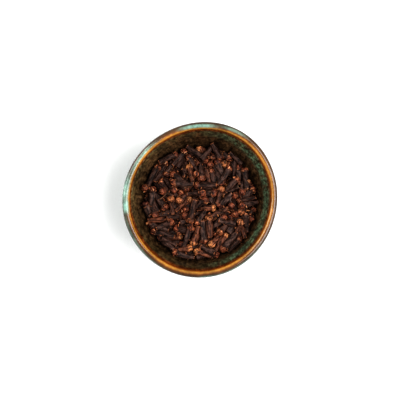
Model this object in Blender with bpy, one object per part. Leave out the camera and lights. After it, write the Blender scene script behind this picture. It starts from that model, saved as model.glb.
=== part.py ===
"""A small hand-thrown stoneware bowl with a heap of whole cloves in it.

Everything is first turned true and round about the Z axis, and then pressed a little out of
round, as wet clay is by the potter's hands. The bowl and the heap get the same pressing, so the
heap goes on fitting the bowl. Units are metres, and the origin is under the middle of the foot.
"""

import math
import random

import bmesh
import bpy
from mathutils import Vector
from mathutils.geometry import interpolate_bezier

MM = 0.001

# The bowl's driving sizes
RIM_RADIUS = 45.0 * MM
HEIGHT = 42.0 * MM
LIP_WIDTH = 4.2 * MM
FLOOR_HEIGHT = 6.0 * MM
FOOT_RADIUS = 23.0 * MM
FOOT_WIDTH = 4.0 * MM
FOOT_HEIGHT = 2.2 * MM
FOOT_CORNER = 0.5 * MM

# How far the lip is out of round, as shares of its radius, and out of level
TWO_SIDED = 0.016
TWO_SIDED_TURN = math.radians(50)
THREE_SIDED = 0.0085
THREE_SIDED_TURN = math.radians(53)
RIM_SWAY = 0.4 * MM
RIM_SWAY_TURN = math.radians(120)

# The heap's driving sizes. It leans: its back is lower than its front by a share of the way across
HEAP_EDGE_HEIGHT = 26.0 * MM
HEAP_RISE = 3.5 * MM
HEAP_LEAN = 0.14
HEAP_GAP = 0.4 * MM

# The cloves whose shapes stand out of the heap's top
CLOVES_ON_TOP = 110
CLOVE_LENGTH = 12.0 * MM
STEM_RADIUS = 1.6 * MM
BUD_RADIUS = 2.5 * MM
HEIGHT_SCATTER = 0.9 * MM
SLOPE_SCATTER = 1.4 * MM
SEED = 11

# How finely the curves are cut
SEGMENTS = 72
WALL_STEPS = 8
LIP_STEPS = 6
HEAP_SIDE_STEPS = 7
HEAP_GRID = 1.4 * MM


def clear_scene():
    for thing in list(bpy.data.objects):
        bpy.data.objects.remove(thing)


def make_material(name, colour, roughness):
    material = bpy.data.materials.new(name)
    material.use_nodes = True
    shader = material.node_tree.nodes["Principled BSDF"]
    shader.inputs["Base Color"].default_value = (*colour, 1.0)
    shader.inputs["Roughness"].default_value = roughness
    shader.inputs["Metallic"].default_value = 0.0
    return material


def bezier(corners, steps):
    """Points (radius, height) along one curve, its first and last points included."""
    ends = [Vector((radius, 0.0, height)) for radius, height in corners]
    return [(p.x, p.z) for p in interpolate_bezier(*ends, steps + 1)]


def inner_wall(steps):
    """The inside of the bowl, from the middle of its floor up to the lip."""
    lip_radius = RIM_RADIUS - LIP_WIDTH
    lip_height = HEIGHT - LIP_WIDTH / 2
    return bezier(
        [
            (0.0, FLOOR_HEIGHT),
            (0.72 * lip_radius, FLOOR_HEIGHT),
            (0.85 * lip_radius, 0.60 * lip_height),
            (lip_radius, lip_height),
        ],
        steps,
    )


def outer_wall(steps):
    """The outside of the bowl, from the top of its foot up to the lip."""
    lip_height = HEIGHT - LIP_WIDTH / 2
    return bezier(
        [
            (FOOT_RADIUS, FOOT_HEIGHT),
            (0.70 * RIM_RADIUS, 2.6 * FOOT_HEIGHT),
            (0.90 * RIM_RADIUS, 0.60 * lip_height),
            (RIM_RADIUS, lip_height),
        ],
        steps,
    )


def lip(steps):
    """The round top of the wall, from outside to inside, without its two ends."""
    middle = RIM_RADIUS - LIP_WIDTH / 2
    base = HEIGHT - LIP_WIDTH / 2
    turns = [math.pi * step / steps for step in range(1, steps)]
    return [
        (middle + LIP_WIDTH / 2 * math.cos(turn), base + LIP_WIDTH / 2 * math.sin(turn))
        for turn in turns
    ]


def foot_ring():
    """The underside, from the middle of the recess out to the foot's outer corner."""
    inner = FOOT_RADIUS - FOOT_WIDTH
    return [
        (0.0, FOOT_HEIGHT),
        (inner - FOOT_HEIGHT, FOOT_HEIGHT),
        (inner, FOOT_CORNER),
        (inner + FOOT_CORNER, 0.0),
        (FOOT_RADIUS - FOOT_CORNER, 0.0),
        (FOOT_RADIUS, FOOT_CORNER),
    ]


def spin_solid(name, profile, material):
    """A closed solid turned about Z. The profile runs from the axis to the axis."""
    shape = bmesh.new()
    points = [shape.verts.new((radius, 0.0, height)) for radius, height in profile]
    edges = [shape.edges.new(pair) for pair in zip(points, points[1:])]
    bmesh.ops.spin(
        shape,
        geom=points + edges,
        cent=(0.0, 0.0, 0.0),
        axis=(0.0, 0.0, 1.0),
        angle=math.tau,
        steps=SEGMENTS,
    )
    bmesh.ops.remove_doubles(shape, verts=shape.verts, dist=0.01 * MM)
    bmesh.ops.recalc_face_normals(shape, faces=shape.faces)
    mesh = bpy.data.meshes.new(name)
    shape.to_mesh(mesh)
    shape.free()
    mesh.materials.append(material)
    solid = bpy.data.objects.new(name, mesh)
    bpy.context.scene.collection.objects.link(solid)
    return solid


def press_out_of_round(solid):
    """Presses the lip out of round and a little out of level. The foot stays true and flat."""
    for vertex in solid.data.vertices:
        turn = math.atan2(vertex.co.y, vertex.co.x)
        share = vertex.co.z / HEIGHT
        two = TWO_SIDED * math.cos(2 * (turn - TWO_SIDED_TURN))
        three = THREE_SIDED * math.cos(3 * (turn - THREE_SIDED_TURN))
        stretch = 1.0 + share * (two + three)
        reach = math.hypot(vertex.co.x, vertex.co.y) / RIM_RADIUS
        sway = RIM_SWAY * math.cos(2 * (turn - RIM_SWAY_TURN))
        vertex.co.x *= stretch
        vertex.co.y *= stretch
        vertex.co.z += share**2 * reach**2 * sway


def cavity_profile():
    """The space that the heap may fill, a gap inside the wall, from the floor to its open top."""
    wall = inner_wall(HEAP_SIDE_STEPS)
    inside = [(0.0, FLOOR_HEIGHT + HEAP_GAP)]
    for before, point, after in zip(wall, wall[1:], wall[2:]):
        along = Vector((after[0] - before[0], after[1] - before[1])).normalized()
        inside.append((point[0] - along.y * HEAP_GAP, point[1] + along.x * HEAP_GAP))
    return inside + [(0.0, inside[-1][1])]


def heap_surface(place):
    """The heap's height over a place in plan, before its cloves are laid out."""
    dome = HEAP_RISE * (1 - (place.length / RIM_RADIUS) ** 2)
    return HEAP_EDGE_HEIGHT + dome - HEAP_LEAN * place.y


def scatter_cloves(rng):
    """Cloves lying about on the heap. Each is its stem's foot and its bud, as points in space."""
    cloves = []
    reach = 0.92 * (RIM_RADIUS - LIP_WIDTH)
    for number in range(CLOVES_ON_TOP):
        share = (number + 0.5) / CLOVES_ON_TOP
        turn = number * math.pi * (3 - math.sqrt(5)) + rng.uniform(-0.3, 0.3)
        heading = rng.uniform(0.0, math.tau)
        middle = math.sqrt(share) * reach * Vector((math.cos(turn), math.sin(turn), 0.0))
        middle.z = heap_surface(middle.to_2d())
        middle.z += rng.uniform(-HEIGHT_SCATTER, HEIGHT_SCATTER)
        half = CLOVE_LENGTH / 2 * Vector((math.cos(heading), math.sin(heading), 0.0))
        half.z = rng.uniform(-SLOPE_SCATTER, SLOPE_SCATTER)
        cloves.append((middle - half, middle + half))
    return cloves


def round_top(place, centre, radius):
    """The height of a ball's top over a place in plan, or nothing where the ball isn't."""
    beside = (place - centre.to_2d()).length
    return centre.z + math.sqrt(radius**2 - beside**2) if beside < radius else -math.inf


def clove_top(place, clove):
    """The height of one lying clove's upper side over a place in plan."""
    foot, bud = clove
    axis = (bud - foot).to_2d()
    along = min(max((place - foot.to_2d()).dot(axis) / axis.length_squared, 0.0), 1.0)
    stem = round_top(place, foot.lerp(bud, along), STEM_RADIUS)
    return max(stem, round_top(place, bud, BUD_RADIUS))


def make_heap_top(rng):
    """A block whose upper side is the heap's: cloves lying across each other on its surface."""
    half = RIM_RADIUS
    cells = round(2 * half / HEAP_GRID)
    shape = bmesh.new()
    bmesh.ops.create_grid(shape, x_segments=cells, y_segments=cells, size=half)
    cloves = scatter_cloves(rng)
    for point in shape.verts:
        place = point.co.to_2d()
        between = heap_surface(place) - STEM_RADIUS
        point.co.z = max([between] + [clove_top(place, clove) for clove in cloves])
    side = bmesh.ops.extrude_face_region(shape, geom=shape.faces[:])
    for point in side["geom"]:
        if isinstance(point, bmesh.types.BMVert):
            point.co.z = 0.0
    bmesh.ops.recalc_face_normals(shape, faces=shape.faces)
    mesh = bpy.data.meshes.new("heap_top")
    shape.to_mesh(mesh)
    shape.free()
    block = bpy.data.objects.new("heap_top", mesh)
    bpy.context.scene.collection.objects.link(block)
    block.hide_render = True
    block.display_type = "WIRE"
    return block


def make_bowl():
    glaze = make_material("glazed_stoneware", (0.07, 0.12, 0.09), 0.18)
    inside = list(reversed(inner_wall(WALL_STEPS)))
    profile = foot_ring() + outer_wall(WALL_STEPS) + lip(LIP_STEPS) + inside
    bowl = spin_solid("bowl", profile, glaze)
    press_out_of_round(bowl)
    bowl.data.shade_smooth()
    bowl.data.set_sharp_from_angle(angle=math.radians(40))
    return bowl


def make_clove_heap():
    clove_brown = make_material("dried_clove", (0.07, 0.03, 0.02), 0.75)
    heap = spin_solid("clove_heap", cavity_profile(), clove_brown)
    press_out_of_round(heap)
    trim = heap.modifiers.new("heap_top", "BOOLEAN")
    trim.operation = "INTERSECT"
    trim.solver = "EXACT"
    trim.object = make_heap_top(random.Random(SEED))
    return heap


def main():
    clear_scene()
    make_bowl()
    make_clove_heap()


main()
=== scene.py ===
"""A small hand-thrown stoneware bowl heaped with whole cloves.

The bowl is turned from one outline and pressed a little out of round. The cloves are modelled one
shape at a time, copied, dropped into the bowl by a small settling simulation, and joined into one
piece for each kind. Crumbs are then scattered over them. Lengths are in metres unless a comment
says otherwise, and the origin is under the middle of the bowl's foot.
"""

import functools
import math
from contextlib import contextmanager

import bmesh
import bpy
import numpy as np
from mathutils import Euler, Matrix, Vector, noise
from mathutils.geometry import interpolate_bezier


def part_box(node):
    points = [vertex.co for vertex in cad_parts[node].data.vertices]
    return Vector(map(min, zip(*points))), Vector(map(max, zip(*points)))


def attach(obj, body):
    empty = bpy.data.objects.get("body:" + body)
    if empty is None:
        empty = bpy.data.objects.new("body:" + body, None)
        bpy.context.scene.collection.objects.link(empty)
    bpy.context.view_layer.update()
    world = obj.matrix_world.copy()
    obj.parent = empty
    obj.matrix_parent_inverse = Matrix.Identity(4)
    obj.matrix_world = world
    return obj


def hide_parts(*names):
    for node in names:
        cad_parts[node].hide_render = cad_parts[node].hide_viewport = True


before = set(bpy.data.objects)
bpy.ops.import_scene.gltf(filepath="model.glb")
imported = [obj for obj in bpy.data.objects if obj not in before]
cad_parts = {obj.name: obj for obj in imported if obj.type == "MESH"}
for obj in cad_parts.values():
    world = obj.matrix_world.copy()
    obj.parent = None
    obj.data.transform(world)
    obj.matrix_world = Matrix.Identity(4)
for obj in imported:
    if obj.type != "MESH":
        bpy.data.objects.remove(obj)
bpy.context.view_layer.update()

bl_info = {
    "name": "Bowl of Whole Cloves",
    "version": (1, 0, 0),
    "blender": (4, 5, 0),
    "location": "3D View > Sidebar > Cloves",
    "description": "Models a glazed stoneware bowl and a settled heap of whole cloves",
    "category": "Add Mesh",
}

MM = 0.001
LIP_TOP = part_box("bowl")[1].z

# How far the potter's hands pressed the lip out of round, and out of level
CAD_RADIUS = 45.0 * MM
CAD_HEIGHT = 42.0 * MM
TWO_SIDED = 0.016
TWO_SIDED_TURN = math.radians(50)
THREE_SIDED = 0.0085
THREE_SIDED_TURN = math.radians(53)
RIM_SWAY = 0.4 * MM
RIM_SWAY_TURN = math.radians(120)


# Without a seed, noise_vector gives other values in every run
noise.seed_set(1)


def display(red, green, blue):
    """A colour as a screen shows it, 0 to 255 a channel, as the shader's own values."""
    shares = [channel / 255 for channel in (red, green, blue)]
    return tuple(((c + 0.055) / 1.055) ** 2.4 if c > 0.04045 else c / 12.92 for c in shares)


# --------------------------------------------------------------------------- settings


def length_setting(name, description, default):
    return bpy.props.FloatProperty(
        name=name, description=description, default=default, unit="LENGTH", subtype="DISTANCE"
    )


def colour_setting(name, description, default):
    return bpy.props.FloatVectorProperty(
        name=name, description=description, default=default, subtype="COLOR", min=0.0, max=1.0
    )


def number_setting(name, description, default, unit="NONE"):
    return bpy.props.FloatProperty(
        name=name, description=description, default=default, unit=unit
    )


def count_setting(name, description, default):
    return bpy.props.IntProperty(name=name, description=description, default=default, min=0)


class BowlSettings(bpy.types.PropertyGroup):
    rim_radius: length_setting("Rim radius", "Outer radius of the lip before pressing", 45 * MM)
    height: length_setting("Height", "Height of the lip's crest", 42 * MM)
    lip_width: length_setting("Lip width", "Thickness of the round lip", 4.2 * MM)
    floor_height: length_setting("Floor height", "Height of the inside's lowest point", 6 * MM)
    foot_radius: length_setting("Foot radius", "Outer radius of the foot ring", 23 * MM)
    foot_width: length_setting("Foot width", "Width of the foot ring", 4 * MM)
    foot_height: length_setting("Foot height", "Height of the foot ring", 2.2 * MM)
    teal: colour_setting("Teal glaze", "Thick glaze down the walls", display(92, 126, 102))
    pale_teal: colour_setting("Pale teal", "Thick glaze on the lip", display(124, 156, 142))
    clay: colour_setting("Bare clay", "The unglazed foot", display(150, 118, 92))


class CloveSettings(bpy.types.PropertyGroup):
    count: count_setting("Cloves", "Cloves and parts of cloves over the core", 186)
    crumbs: count_setting("Crumbs", "Chips of petals and sepals lying between", 160)
    seed: count_setting("Seed", "Another seed, another heap", 5)
    core_edge: length_setting("Core edge", "Height of the core at the bowl's wall", 19.5 * MM)
    core_rise: length_setting("Core rise", "How much higher the core is in its middle", 3 * MM)
    stem: colour_setting("Stem", "Dried stem", display(62, 42, 35))
    stem_grey: colour_setting("Stem bloom", "Dusty purple grey on a stem", display(88, 67, 59))
    stem_red: colour_setting("Red stem", "Stems that dried redder", display(104, 64, 46))
    bud: colour_setting("Bud", "Petals of a closed bud", display(118, 68, 48))
    bud_dark: colour_setting("Dark bud", "Petals of an old bud", display(64, 34, 28))
    bud_light: colour_setting("Light bud", "Petals of a fresh bud", display(176, 120, 78))
    crumb: colour_setting("Crumb", "Chips and thin stalks", display(86, 60, 43))
    # Warm and pale also colour the painted highlight along the buds' petal edges
    warm: colour_setting("Warm tips", "Sepals toward their tips", display(170, 108, 72))
    pale: colour_setting("Pale tips", "The very tips and edges", display(250, 212, 168))


class StageSettings(bpy.types.PropertyGroup):
    camera_height: length_setting("Camera height", "Height of the camera over the lip", 0.640)
    lens: number_setting("Lens", "Focal length", 100.0, "CAMERA")
    key: number_setting("Key light", "Power of the light from the right", 5.3, "POWER")
    fill: number_setting("Fill light", "Power of the wide light from the left", 6.0, "POWER")
    sky: number_setting("Sky", "Strength of the white all around", 0.34)


# --------------------------------------------------------------------------- modelling helpers


def deselect_all():
    for thing in bpy.context.selected_objects:
        thing.select_set(False)


def make_active(piece):
    deselect_all()
    piece.select_set(True)
    bpy.context.view_layer.objects.active = piece


@contextmanager
def editing(piece):
    """Edit mode on one piece, with nothing in it selected, giving its editable mesh."""
    make_active(piece)
    bpy.ops.object.mode_set(mode="EDIT")
    bpy.ops.mesh.select_all(action="DESELECT")
    yield bmesh.from_edit_mesh(piece.data)
    bpy.ops.object.mode_set(mode="OBJECT")


def select_where(piece, parts, wanted):
    """Selects, in edit mode, the vertices, edges or faces that the test accepts."""
    for part in parts:
        if wanted(part):
            part.select_set(True)
    bmesh.update_edit_mesh(piece.data)


def cut_upright_edges(piece, edges, longer_than, cuts):
    """Subdivides, in edit mode, the edges that run up a piece."""
    select_where(piece, edges, lambda e: abs(e.verts[0].co.z - e.verts[1].co.z) > longer_than)
    bpy.ops.mesh.subdivide(number_cuts=cuts)


def newest(name):
    """The object that the last primitive operator made, named, with its place in its mesh."""
    piece = bpy.context.object
    piece.name = name
    make_active(piece)
    bpy.ops.object.transform_apply(location=True, rotation=True, scale=True)
    return piece


def join(pieces, name):
    """Joins pieces into the first of them."""
    deselect_all()
    for piece in pieces:
        piece.select_set(True)
    bpy.context.view_layer.objects.active = pieces[0]
    if len(pieces) > 1:
        bpy.ops.object.join()
    pieces[0].name = name
    pieces[0].data.name = name
    return pieces[0]


def reshape(piece, move):
    """Moves every vertex of a piece to where the function puts it."""
    for vertex in piece.data.vertices:
        vertex.co = move(vertex.co.copy())


def set_values(piece, name, values):
    """Writes one number for each vertex, for the materials to read."""
    layer = piece.data.attributes.get(name) or piece.data.attributes.new(name, "FLOAT", "POINT")
    layer.data.foreach_set("value", np.asarray(values, np.float32))


def set_vectors(piece, name, vectors):
    """Writes one place for each vertex, for the materials to read."""
    kind = ("FLOAT_VECTOR", "POINT")
    layer = piece.data.attributes.get(name) or piece.data.attributes.new(name, *kind)
    layer.data.foreach_set("vector", np.asarray(vectors, np.float32).ravel())


def places(piece):
    """Every vertex's place as rows of an array."""
    flat = np.zeros(len(piece.data.vertices) * 3)
    piece.data.vertices.foreach_get("co", flat)
    return flat.reshape(-1, 3)


def smooth(piece, angle):
    make_active(piece)
    bpy.ops.object.shade_smooth_by_angle(angle=math.radians(angle))


# --------------------------------------------------------------------------- the bowl's outline


def bezier(corners, steps):
    """Points (radius, height) along one curve, its first and last points included."""
    ends = [Vector((radius, 0.0, height)) for radius, height in corners]
    return [(p.x, p.z) for p in interpolate_bezier(*ends, steps + 1)]


def inner_wall(bowl, steps):
    """The inside of the bowl, from the middle of its floor up to the lip."""
    lip_radius = bowl.rim_radius - bowl.lip_width
    lip_height = bowl.height - bowl.lip_width / 2
    return bezier(
        [
            (0.0, bowl.floor_height),
            (0.72 * lip_radius, bowl.floor_height),
            (0.85 * lip_radius, 0.60 * lip_height),
            (lip_radius, lip_height),
        ],
        steps,
    )


def outer_wall(bowl, steps):
    """The outside of the bowl, from the top of its foot up to the lip."""
    lip_height = bowl.height - bowl.lip_width / 2
    return bezier(
        [
            (bowl.foot_radius, bowl.foot_height),
            (0.70 * bowl.rim_radius, 2.6 * bowl.foot_height),
            (0.90 * bowl.rim_radius, 0.60 * lip_height),
            (bowl.rim_radius, lip_height),
        ],
        steps,
    )


def lip(bowl, steps):
    """The round top of the wall, from outside to inside, without its two ends."""
    middle = bowl.rim_radius - bowl.lip_width / 2
    base = bowl.height - bowl.lip_width / 2
    turns = [math.pi * step / steps for step in range(1, steps)]
    half = bowl.lip_width / 2
    return [(middle + half * math.cos(turn), base + half * math.sin(turn)) for turn in turns]


def foot_ring(bowl):
    """The underside, from the middle of the recess out to the foot's outer corner."""
    inner = bowl.foot_radius - bowl.foot_width
    corner = 0.5 * MM
    return [
        (0.0, bowl.foot_height),
        (0.5 * inner, bowl.foot_height),
        (inner - bowl.foot_height, bowl.foot_height),
        (inner - 0.3 * bowl.foot_height, 0.7 * bowl.foot_height),
        (inner, corner),
        (inner + 0.3 * corner, 0.3 * corner),
        (inner + corner, 0.0),
        (bowl.foot_radius - corner, 0.0),
        (bowl.foot_radius - 0.3 * corner, 0.3 * corner),
        (bowl.foot_radius, corner),
    ]


def stretch_at(x, y, z):
    """How much wider than round the bowl is at a place."""
    turn = np.arctan2(y, x)
    two = TWO_SIDED * np.cos(2 * (turn - TWO_SIDED_TURN))
    three = THREE_SIDED * np.cos(3 * (turn - THREE_SIDED_TURN))
    return 1 + z / CAD_HEIGHT * (two + three)


def press_out_of_round(piece):
    """Presses the lip out of round and a little out of level. The foot stays true and flat."""

    def pressed(place):
        stretch = float(stretch_at(place.x, place.y, place.z))
        turn = math.atan2(place.y, place.x)
        reach = math.hypot(place.x, place.y) / CAD_RADIUS
        sway = RIM_SWAY * math.cos(2 * (turn - RIM_SWAY_TURN))
        height = place.z + (place.z / CAD_HEIGHT) ** 2 * reach**2 * sway
        return Vector((place.x * stretch, place.y * stretch, height))

    reshape(piece, pressed)


def spin_outline(name, outline, segments):
    """Extrudes an outline point by point and spins it about Z, closed and facing out."""
    bpy.ops.mesh.primitive_plane_add(size=MM, location=(outline[0][0], 0.0, outline[0][1]))
    piece = newest(name)
    with editing(piece):
        bpy.ops.mesh.select_all(action="SELECT")
        bpy.ops.mesh.merge(type="CENTER")
        for (radius, height), (next_radius, next_height) in zip(outline, outline[1:]):
            step = (next_radius - radius, 0.0, next_height - height)
            bpy.ops.mesh.extrude_vertices_move(TRANSFORM_OT_translate={"value": step})
        bpy.ops.mesh.select_all(action="SELECT")
        bpy.ops.mesh.spin(
            steps=segments, angle=math.tau, center=(0.0, 0.0, 0.0), axis=(0.0, 0.0, 1.0)
        )
        bpy.ops.mesh.select_all(action="SELECT")
        bpy.ops.mesh.remove_doubles(threshold=0.01 * MM)
        bpy.ops.mesh.normals_make_consistent(inside=False)
    return piece


# --------------------------------------------------------------------------- settling the cloves


def unit(vectors):
    return vectors / np.linalg.norm(vectors, axis=1)[:, None]


def total_for_each(owner, vectors, count):
    """Adds up the vectors that belong to each owner."""
    return np.stack([np.bincount(owner, vectors[:, axis], count) for axis in range(3)], axis=1)


def closest_shares(start, run, other_start, other_run):
    """How far along two straight pieces, from 0 to 1, they come closest to each other."""
    between = start - other_start
    a = (run * run).sum(1)
    b = (run * other_run).sum(1)
    c = (other_run * other_run).sum(1)
    d = (run * between).sum(1)
    e = (other_run * between).sum(1)
    bottom = a * c - b * b
    slanted = bottom > 1e-6 * a * c
    share = np.where(slanted, (b * e - c * d) / np.where(slanted, bottom, 1.0), 0.5)
    other = np.clip((b * np.clip(share, 0, 1) + e) / c, 0, 1)
    return np.clip((b * other - d) / a, 0, 1), other


WALL_STEPS = 20
WALL_CLEARANCE = 0.3 * MM
SHIFTS_OFF_WALL = 4


def wall_gap(wall, points):
    """How far points are inside the bowl's wall, and the way straight off the wall."""
    spread = np.hypot(points[:, 0], points[:, 1]) / stretch_at(*points.T)
    flat = np.stack([spread, points[:, 2]], axis=1)
    start = wall[:-1]
    run = wall[1:] - start
    share = ((flat[:, None] - start) * run).sum(2) / (run * run).sum(1)
    away = flat[:, None] - (start + np.clip(share, 0, 1)[..., None] * run)
    size = np.linalg.norm(away, axis=2)
    nearest = size.argmin(1)
    each = np.arange(len(points))
    along = unit(run)[nearest]
    off = np.stack([-along[:, 1], along[:, 0]], axis=1)
    gap = size[each, nearest] * np.sign((away[each, nearest] * off).sum(1))
    turn = np.arctan2(points[:, 1], points[:, 0])
    return gap, np.stack([off[:, 0] * np.cos(turn), off[:, 0] * np.sin(turn), off[:, 1]], axis=1)


def pressed_into_wall(piece):
    """How far each of a piece's points is past the wall's clearance, and the way back."""
    wall = np.array(inner_wall(bpy.context.scene.clove_bowl, WALL_STEPS))
    gap, off = wall_gap(wall, places(piece))
    return np.maximum(WALL_CLEARANCE - gap, 0.0), off


def move_places(piece, moves):
    piece.data.vertices.foreach_set("co", (places(piece) + moves).ravel())
    piece.data.update()


def move_off_wall(piece):
    """Shifts a whole piece inward until none of it is in the bowl's wall."""
    for _ in range(SHIFTS_OFF_WALL):
        depth, off = pressed_into_wall(piece)
        worst = int(depth.argmax())
        move_places(piece, off[worst] * depth[worst])


class Heap:
    """Cloves as straight rods, each of a round-ended stem and a round head, settling in a bowl."""

    time_step = 1 / 150
    gravity = 9.81
    top_speed = 0.35
    friction = 0.5
    eagerness = 1.4
    passes = 6
    look_ahead = 1.2 * MM
    steps_between_looks = 3

    def __init__(self, bowl, cloves, shapes):
        self.wall = np.array(inner_wall(bowl, WALL_STEPS))
        self.core_edge = cloves.core_edge
        self.core_rise = cloves.core_rise
        self.low = np.array([[s["stem_low"], s["head_low"]] for s in shapes])
        self.high = np.array([[s["stem_high"], s["head_high"]] for s in shapes])
        self.radius = np.array([[s["stem_radius"], s["head_radius"]] for s in shapes])
        self.mass = np.array([s["mass"] for s in shapes])
        span = self.high.max(1) - self.low.min(1) + 2 * self.radius[:, 0]
        self.inertia = self.mass * (span**2 / 12 + self.radius[:, 0] ** 2 / 2)
        self.middle = np.array([s["middle"] for s in shapes])
        self.heading = unit(np.array([s["heading"] for s in shapes]))

    def near_pairs(self):
        """The rods' round-ended parts that could touch soon."""
        low, high, radius = self.low.ravel(), self.high.ravel(), self.radius.ravel()
        centre = self.middle[self.owner] + self.heading[self.owner] * ((low + high) / 2)[:, None]
        reach = (high - low) / 2 + radius + self.look_ahead
        apart = np.linalg.norm(centre[:, None] - centre, axis=2)
        a, b = np.nonzero(np.triu(apart < reach[:, None] + reach, 1))
        different = self.owner[a] != self.owner[b]
        return a[different], b[different]

    def push(self, owner, arm, direction, amount, other=None, other_arm=None):
        """Moves and turns rods so that the touching points part by an amount in a direction."""
        lever = np.cross(arm, direction)
        give = 1 / self.mass[owner] + (lever**2).sum(1) / self.inertia[owner]
        if other is not None:
            other_lever = np.cross(other_arm, direction)
            give = give + 1 / self.mass[other] + (other_lever**2).sum(1) / self.inertia[other]
        pull = (amount / give)[:, None]
        self.add_move(owner, direction * pull, lever * pull)
        if other is not None:
            self.add_move(other, -direction * pull, -other_lever * pull)

    def add_move(self, owner, shift, twist):
        """Adds to what the rods are moved and turned by at the end of this pass."""
        count = len(self.middle)
        self.shift += total_for_each(owner, shift / self.mass[owner][:, None], count)
        self.twist += total_for_each(owner, twist / self.inertia[owner][:, None], count)

    def slide_of(self, owner, arm, where):
        """How far a point on a rod has gone in this step."""
        return self.middle[owner] + arm - self.was[owner] - self.pointed[owner] * where[:, None]

    def hold(self, owner, arm, off, depth, slide, other=None, other_arm=None):
        """Parts what overlaps, and holds back what slides."""
        self.push(owner, arm, off, depth, other, other_arm)
        slide = slide - off * (slide * off).sum(1)[:, None]
        length = np.linalg.norm(slide, axis=1)
        grip = np.minimum(self.friction * depth, length)
        back = -slide / np.maximum(length, 1e-12)[:, None]
        self.push(owner, arm, back, grip, other, other_arm)
        self.touches += np.bincount(owner, minlength=len(self.middle))
        if other is not None:
            self.touches += np.bincount(other, minlength=len(self.middle))

    def part_rods(self, first, second):
        """Parts the pairs of rods that overlap, at the places where they come closest."""
        low, run, radius = self.low.ravel(), (self.high - self.low).ravel(), self.radius.ravel()
        start = self.middle[self.owner] + self.heading[self.owner] * low[:, None]
        along = self.heading[self.owner] * run[:, None]
        share, other_share = closest_shares(
            start[first], along[first], start[second], along[second]
        )
        where = low[first] + share * run[first]
        other_where = low[second] + other_share * run[second]
        a, b = self.owner[first], self.owner[second]
        arm = self.heading[a] * where[:, None]
        other_arm = self.heading[b] * other_where[:, None]
        apart = self.middle[a] + arm - self.middle[b] - other_arm
        size = np.linalg.norm(apart, axis=1)
        depth = radius[first] + radius[second] - size
        hit = depth > 0
        a, b, arm, other_arm, depth = a[hit], b[hit], arm[hit], other_arm[hit], depth[hit]
        off = apart[hit] / np.maximum(size[hit], 1e-9)[:, None]
        slide = self.slide_of(a, arm, where[hit]) - self.slide_of(b, other_arm, other_where[hit])
        self.hold(a, arm, off, depth, slide, b, other_arm)

    def keep_in_bowl(self):
        """Lifts the rods' ends off the wall and off the core."""
        count = len(self.middle)
        owner = np.concatenate([np.arange(count), np.arange(count)])
        where = np.concatenate([self.low[:, 0], self.high[:, 1]])
        radius = np.concatenate([self.radius[:, 0], self.radius[:, 1]])
        arm = self.heading[owner] * where[:, None]
        point = self.middle[owner] + arm
        gap, off = wall_gap(self.wall, point)
        up = np.tile([0.0, 0.0, 1.0], (len(point), 1))
        sunk = core_height(self, point[:, 0], point[:, 1]) + radius - point[:, 2]
        for depth, way in ((radius - gap, off), (sunk, up)):
            hit = depth > 0
            slide = self.slide_of(owner[hit], arm[hit], where[hit])
            self.hold(owner[hit], arm[hit], way[hit], depth[hit], slide)

    def settle(self, steps, drag):
        """Lets the rods fall and come to rest."""
        count = len(self.middle)
        self.owner = np.repeat(np.arange(count), 2)
        speed = np.zeros((count, 3))
        turning = np.zeros((count, 3))
        for step in range(steps):
            self.was = self.middle.copy()
            self.pointed = self.heading.copy()
            speed = (speed - np.array([0.0, 0.0, self.gravity * self.time_step])) * drag
            size = np.linalg.norm(speed, axis=1)[:, None]
            speed *= np.minimum(1, self.top_speed / np.maximum(size, 1e-9))
            self.middle = self.middle + speed * self.time_step
            swing = np.cross(turning * drag * self.time_step, self.heading)
            self.heading = unit(self.heading + swing)
            if step % self.steps_between_looks == 0:
                pairs = self.near_pairs()
            for _ in range(self.passes):
                self.shift = np.zeros((count, 3))
                self.twist = np.zeros((count, 3))
                self.touches = np.zeros(count)
                self.part_rods(*pairs)
                self.keep_in_bowl()
                share = (self.eagerness / np.maximum(self.touches, self.eagerness))[:, None]
                self.middle = self.middle + self.shift * share
                self.heading = unit(self.heading + np.cross(self.twist * share, self.heading))
            speed = (self.middle - self.was) / self.time_step
            turning = np.cross(self.pointed, self.heading) / self.time_step


HEAP_LEAN = 0.14
HEAP_REACH = 36 * MM


def core_height(cloves, x, y):
    """The core's top: a low dome that is a little higher at the front than at the back."""
    dome = cloves.core_rise * (1 - (x * x + y * y) / HEAP_REACH**2)
    return cloves.core_edge + dome - HEAP_LEAN * y


# --------------------------------------------------------------------------- what a heap is made of

# Each kind's share of the heap, how many shapes it has, the weight of one beside a whole clove's,
# and the least and most of its length, girth and head in millimetres, the last two as radii
KIND_FACTS = ("share", "shapes", "weight", "length", "girth", "head")
KINDS = {
    "whole": (0.58, 13, 1.0, (11.6, 14.8), (1.4, 1.95), (1.95, 2.35)),
    "open": (0.14, 6, 0.8, (9.6, 12.2), (1.4, 1.85), (1.85, 2.2)),
    "bud": (0.04, 4, 0.3, (3.6, 4.4), (1.8, 2.2), (1.8, 2.2)),
    "stem": (0.16, 6, 0.6, (6.5, 10.5), (1.3, 1.8), (1.2, 1.4)),
    "stalk": (0.08, 5, 0.3, (6.0, 10.0), (0.5, 0.7), (0.45, 0.6)),
}


def facts_of(kind):
    return dict(zip(KIND_FACTS, KINDS[kind]))


def clove_shapes(seed):
    """The different shapes of each kind: kind to a list of sizes in metres."""
    rng = np.random.default_rng(seed)
    shapes = {}
    for kind in KINDS:
        facts = facts_of(kind)
        shapes[kind] = [
            {
                "length": rng.uniform(*facts["length"]) * MM,
                "girth": rng.uniform(*facts["girth"]) * MM,
                "head": rng.uniform(*facts["head"]) * MM,
                "seed": int(rng.integers(1, 1000)),
            }
            for _ in range(facts["shapes"])
        ]
    return shapes


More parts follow.
